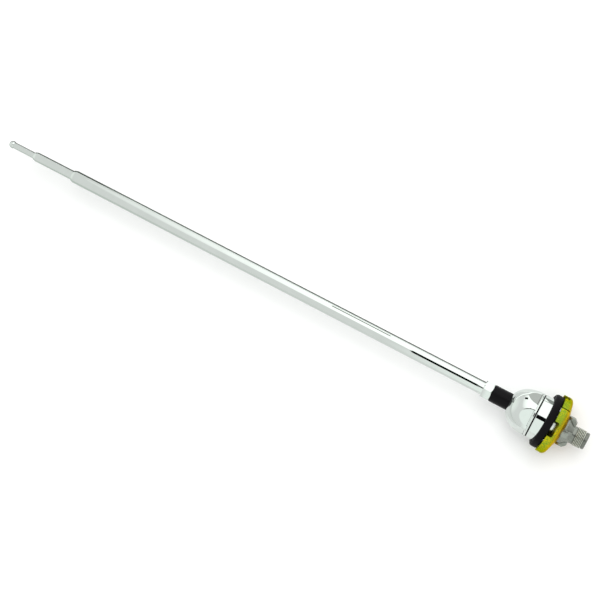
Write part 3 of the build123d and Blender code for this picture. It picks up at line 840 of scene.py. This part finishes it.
class AERIAL_OT_stub(bpy.types.Operator):
    """Make the die-cast stub with its lugs and the thread for the lead"""

    bl_idname = "aerial.stub"
    bl_label = "Stub"

    def execute(self, context):
        sizes = context.scene.aerial_sizes
        slope = panel_slope()
        lug_radius = sizes.shank_radius + sizes.lug_reach
        lug_top = (
            -sizes.cup_depth / cos(slope) + sizes.notch_depth * cos(slope)
            - lug_radius * sin(slope) - sizes.slide_gap
        )
        lug_low = lug_top - sizes.lug_height
        thread_top = lug_low - sizes.neck_length
        thread_low = thread_top - sizes.thread_length
        outline = self.outline(sizes, lug_top, lug_low, thread_top, thread_low)
        stub = turned("foot_stub", outline, sizes.spin_steps)
        lugs = self.lugs(sizes, lug_radius, lug_top, lug_low)
        joined(stub, lugs, self.thread(sizes, thread_top, thread_low))
        dress(stub, "stub", "stub_body", die_cast_zinc)
        return {"FINISHED"}

    def outline(self, sizes, lug_top, lug_low, thread_top, thread_low):
        """Half section of the stub without its lugs and the turns of its thread."""
        shank, neck, end_radius = sizes.shank_radius, sizes.neck_radius, sizes.end_radius
        spigot, socket, bore = sizes.sleeve_spigot, sizes.socket_radius, sizes.insulator_radius
        root = sizes.thread_radius - sizes.thread_depth
        floor = root - sizes.groove_depth
        end, high, _ = span("stub_body")
        groove_low, socket_top = thread_low - sizes.groove_width, end + sizes.socket_depth
        return [
            (spigot, high), (shank - sizes.shank_chamfer, high), (shank, high - sizes.shank_chamfer),
            (shank, lug_top - sizes.lug_width / 2, 0.4 * MM), (neck, lug_low, 0.5 * MM),
            (neck, thread_top, 0.2 * MM), (root, thread_top - 0.1 * MM), (root, thread_low),
            (floor, thread_low), (floor, groove_low), (end_radius, groove_low, 0.2 * MM),
            (end_radius, end, sizes.end_round), (socket, end, 0.25 * MM), (socket, socket_top),
            (bore, socket_top), (bore, lug_top), (spigot, lug_top),
        ]

    def lugs(self, sizes, radius, top, low):
        """Four lugs with round tops and sloping ends."""
        half, inside = sizes.lug_width / 2, 2 * MM
        place = Vector((radius / 2 + inside, 0, top - half))
        lug = bar("lug", 48, half, radius, place, (0, pi / 2, 0))
        edit(lug)
        cut_off(UP * place.z, UP, clear_inner=True)
        bpy.ops.mesh.extrude_region_move(TRANSFORM_OT_translate={"value": UP * (half - sizes.lug_height)})
        close_up()
        outline = [
            (0, top + MM), (radius, top + MM), (radius, top - sizes.lug_straight),
            (radius - sizes.lug_bevel, low), (0, low),
        ]
        combine(lug, turned("lug_trim", outline, sizes.spin_steps), "INTERSECT")
        soften(lug, sizes.lug_round, 30, 4)
        return ring_of(lug, 4, sizes.key_turn)

    def thread(self, sizes, top, low):
        """Turns of the thread: one ridge wound up the stub and cut off level at both ends."""
        pitch, crest = sizes.thread_pitch, sizes.thread_radius
        root = crest - sizes.thread_depth
        sunk = root - 0.3 * MM
        ridge_outline = [
            (sunk, 0), (root, 0), (crest, 0.4 * pitch), (crest, 0.5 * pitch), (root, 0.9 * pitch),
            (sunk, 0.9 * pitch),
        ]
        points = [Vector((across, 0, low - pitch + up)) for across, up in ridge_outline]
        ridge = drawn("thread_ridge", points + points[:1])
        bpy.ops.object.mode_set(mode="OBJECT")
        turns = ceil(sizes.thread_length / pitch) + 1
        modify(ridge, "SCREW", axis="Z", screw_offset=pitch, iterations=turns, steps=64, render_steps=64)
        edit(ridge)
        cut_off(UP * low, UP, clear_inner=True)
        cut_off(UP * (top - 0.15 * MM), UP, clear_outer=True)
        close_up()
        return ridge


class AERIAL_OT_inner(bpy.types.Operator):
    """Finish the solids that stay: stops, springs, stud, seals, contact and its insulator"""

    bl_idname = "aerial.inner"
    bl_label = "Inner pieces"

    def execute(self, context):
        brass = ("tip_stop", "tip_spring", "middle_stop", "middle_spring", "mast_stud", "centre_contact")
        for recipe, nodes in (
            (turned_brass, brass),
            (black_rubber, ("sleeve_seal", "dome_seal")),
            (white_acetal, ("contact_insulator",)),
        ):
            for node in nodes:
                for place in frame["nodes"][node].material_slots:
                    place.material = finish_of(recipe)
        return {"FINISHED"}


class AERIAL_OT_stage(bpy.types.Operator):
    """Set the camera, the paper behind the aerial, the cards and the light"""

    bl_idname = "aerial.stage"
    bl_label = "Stage"

    def execute(self, context):
        stage = context.scene.aerial_stage
        colours = context.scene.aerial_colours
        turn = stage.view_turn
        self.toward = Vector((-sin(turn), -cos(turn), 0))
        self.right = Vector((cos(turn), -sin(turn), 0))
        self.camera(context, stage)
        paper = self.paper(stage, colours)
        self.cards(context.scene.camera.matrix_world.translation, colours, paper)
        self.light(context, stage)
        context.scene.view_settings.view_transform = "Standard"
        return {"FINISHED"}

    def camera(self, context, stage):
        """Camera at the picture's angle, worked out from where the foot and the mast lie in the picture."""
        focal = stage.lens / SENSOR * PICTURE
        middle = PICTURE / 2
        foot = Vector(((stage.foot_across - middle) / focal, (stage.foot_down - middle) / focal, 1))
        foot *= stage.foot_distance
        flat = cos(stage.mast_lean)
        mast = Vector((-flat * cos(stage.mast_turn), -flat * sin(stage.mast_turn), sin(stage.mast_lean)))
        away = foot.normalized()
        away = (away - mast * away.dot(mast)).normalized()
        across = away.cross(mast)
        swing, keep = sin(stage.view_turn), cos(stage.view_turn)
        axes = Matrix((across * keep + away * swing, away * keep - across * swing, mast))
        bpy.ops.object.camera_add()
        camera = named("camera")
        camera.data.lens = stage.lens
        camera.data.sensor_width = SENSOR
        camera.data.clip_start = 10 * MM
        turn = (axes @ Matrix(((1, 0, 0), (0, -1, 0), (0, 0, -1)))).to_4x4()
        camera.matrix_world = Matrix.Translation(-(axes @ foot)) @ turn
        context.scene.camera = camera

    def paper(self, stage, colours):
        """White paper that the cup's rim lies on; from behind it is clear, so back views stay open."""

        def sheet(tree):
            white = add(tree, "ShaderNodeBsdfDiffuse", {"Color": colours.paper})
            clear = add(tree, "ShaderNodeBsdfTransparent")
            back = add(tree, "ShaderNodeNewGeometry").outputs["Backfacing"]
            return add(tree, "ShaderNodeMixShader", {"Fac": back, 1: white.outputs[0], 2: clear.outputs[0]})

        rim = max(-corner.co.dot(self.toward) for corner in frame["nodes"]["claw_cup"].data.vertices)
        gap = 0.1 * MM
        bpy.ops.mesh.primitive_plane_add(size=4, location=-self.toward * (rim + gap))
        paper = named("paper")
        paper.rotation_euler = (pi / 2, 0, -stage.view_turn)
        paper.data.materials.append(surface("white_paper", sheet))
        bpy.context.view_layer.update()
        return paper

    def plain(self, tint, level=1.0):
        """Shader of a card with one tint and level all over."""
        return lambda tree: add(tree, "ShaderNodeEmission", {"Color": tint, "Strength": level})

    def fading(self, tint, level, ways, start, end):
        """Shader of a card whose tint and level fade to plain white away from its middle."""

        def shader(tree):
            reach = distance(add(tree, "ShaderNodeTexCoord").outputs["Object"], ways)
            shade = blend(ranged(reach, start, end), tint, WHITE)
            bright = ranged(reach, start, end, level, 1.0)
            return add(tree, "ShaderNodeEmission", {"Color": shade, "Strength": bright})

        return shader

    def card(self, name, shader, width, height):
        """Flat card that only reflections see, added at the origin and facing up."""
        bpy.ops.mesh.primitive_plane_add(size=1)
        bpy.context.object.scale = (width, height, 1)
        return self.unseen(settled(name), shader)

    def unseen(self, card, shader):
        """Give a card its shader and keep it out of the picture, the shadows and the plain light."""
        card.data.materials.append(surface(card.name, shader))
        card.visible_camera = False
        card.visible_diffuse = False
        card.visible_shadow = False
        return card

    def side(self, degrees):
        """Level direction at an angle to the right of the one towards the camera."""
        return self.toward * cos(radians(degrees)) + self.right * sin(radians(degrees))

    def cards(self, eye, colours, paper):
        """Cards for the chrome to show: round the camera, beyond the tip, beside the paper, on the left."""
        dome, long_way = UP * 0.02, (0, 1, 0)
        dark = self.plain(colours.dark_card)
        soft = self.fading(colours.paper, 1.7, long_way, 0.2, 0.56)
        left = self.fading(colours.left_card, 1.5, long_way, 0.16, 0.3)
        beside = self.toward * 0.091 + self.right * 0.201
        for name, shader, width, height, place, target in (
            ("dark_card", dark, 0.23, 0.26, eye * 1.03 + UP * 0.03, dome),
            ("mast_card", dark, 0.4, 0.085, eye * 1.02 + UP * 0.12, dome),
            ("soft_card", soft, 1.24, 1.0, self.side(51) * 0.65 + UP * 0.1, UP * 0.1),
            ("left_card", left, 1.24, 1.0, self.side(-47) * 0.65 - UP * 0.1, UP * -0.1),
            ("spot_card", dark, 0.05, 0.05, beside + UP * 0.1465, dome),
        ):
            card = self.card(name, shader, width, height)
            card.location = place
            card.rotation_euler = (target - place).to_track_quat("Z", "Y").to_euler()

        # The table round the paper, as strips along the mast with the lamp's glare between.
        # The last strip is raised, so that the mast has it close behind and the dome hardly shows it.
        collar = span("wedge_collar").top + 3 * MM
        for name, tint, level, near, far, low, high, lift in (
            ("glare_card", colours.paper, 1.8, 0.08, 0.17, -0.15, 0.55, 0.3),
            ("side_card", colours.side_card, 1.0, 0.19, 0.6, -0.15, 0.55, 0.3),
            ("collar_card", colours.collar_card, 1.0, 0.042, 0.6, 0.0015, collar, 0.5),
            ("tip_edge_card", colours.edge_card, 1.0, 0.006, 0.09, 0.285, 0.46, 0.3),
            ("edge_card", colours.edge_card, 1.0, 0.0039, 0.0113, 0.036, 0.285, 12.8),
        ):
            strip = self.card(name, self.plain(tint, level), far - near, high - low)
            middle = Matrix.Translation(((near + far) / 2, (low + high) / 2, lift * MM))
            strip.matrix_world = paper.matrix_world @ middle
        far = self.card("far_card", self.fading(colours.far_card, 1.0, long_way, 0.3, 0.56), 1.2, 1.16)
        beyond = 0.62
        far.matrix_world = paper.matrix_world @ Matrix.Translation((0, beyond, 0.2 * MM))
        bpy.ops.mesh.primitive_circle_add(vertices=64, radius=1.5, fill_type="NGON")
        tip = self.unseen(named("tip_card"), self.fading(colours.tip_card, 1.35, (1, 1, 0), 0.15, 0.45))
        tip.location = UP * beyond

    def light(self, context, stage):
        """One wide soft lamp from the right of the picture, and a plain level of light from all round."""
        bpy.ops.object.light_add(type="AREA")
        key = named("key")
        key.visible_glossy = False
        key.data.shape = "RECTANGLE"
        key.data.energy = stage.key_power
        key.data.size = stage.key_width
        key.data.size_y = stage.key_height
        target = UP * stage.key_level
        key.location = self.toward * stage.key_distance + self.right * stage.key_aside + target
        key.rotation_euler = (target - key.location).to_track_quat("-Z", "Y").to_euler()
        world = bpy.data.worlds.new("studio")
        world.use_nodes = True
        tree = world.node_tree
        tree.nodes.clear()
        ray = add(tree, "ShaderNodeLightPath").outputs
        mirror = reckon("MAXIMUM", ray["Is Glossy Ray"], ray["Is Transmission Ray"])
        seen = reckon("MAXIMUM", ray["Is Camera Ray"], mirror)
        level = ranged(seen, 0.0, 1.0, stage.fill, 1.0)
        sky = add(tree, "ShaderNodeBackground", {"Color": WHITE, "Strength": level})
        add(tree, "ShaderNodeOutputWorld", {"Surface": sky.outputs["Background"]})
        context.scene.world = world


class AERIAL_PT_panel(bpy.types.Panel):
    """Lists the aerial's pieces, sizes, colours and stage in the sidebar"""

    bl_idname = "AERIAL_PT_panel"
    bl_label = "Car Mast Aerial"
    bl_space_type = "VIEW_3D"
    bl_region_type = "UI"
    bl_category = "Aerial"

    def draw(self, context):
        for operator in PIECES:
            self.layout.operator(operator.bl_idname)
        for group in (context.scene.aerial_sizes, context.scene.aerial_colours, context.scene.aerial_stage):
            box = self.layout.box()
            for name in group.__annotations__:
                box.prop(group, name)


PIECES = (
    AERIAL_OT_mast, AERIAL_OT_ferrule, AERIAL_OT_sleeve, AERIAL_OT_dome, AERIAL_OT_collar,
    AERIAL_OT_gasket, AERIAL_OT_cup, AERIAL_OT_stub, AERIAL_OT_inner, AERIAL_OT_stage,
)
CLASSES = (AerialSizes, AerialColours, AerialStage, *PIECES, AERIAL_PT_panel)


def register():
    for entry in CLASSES:
        bpy.utils.register_class(entry)
    bpy.types.Scene.aerial_sizes = PointerProperty(type=AerialSizes)
    bpy.types.Scene.aerial_colours = PointerProperty(type=AerialColours)
    bpy.types.Scene.aerial_stage = PointerProperty(type=AerialStage)


def unregister():
    del bpy.types.Scene.aerial_stage
    del bpy.types.Scene.aerial_colours
    del bpy.types.Scene.aerial_sizes
    for entry in reversed(CLASSES):
        bpy.utils.unregister_class(entry)


def main():
    """Build the pieces in order."""
    register()
    bpy.ops.aerial.mast()
    bpy.ops.aerial.ferrule()
    bpy.ops.aerial.sleeve()
    bpy.ops.aerial.dome()
    bpy.ops.aerial.collar()
    bpy.ops.aerial.gasket()
    bpy.ops.aerial.cup()
    bpy.ops.aerial.stub()
    bpy.ops.aerial.inner()
    bpy.ops.aerial.stage()


if __name__ == "__main__":
    main()
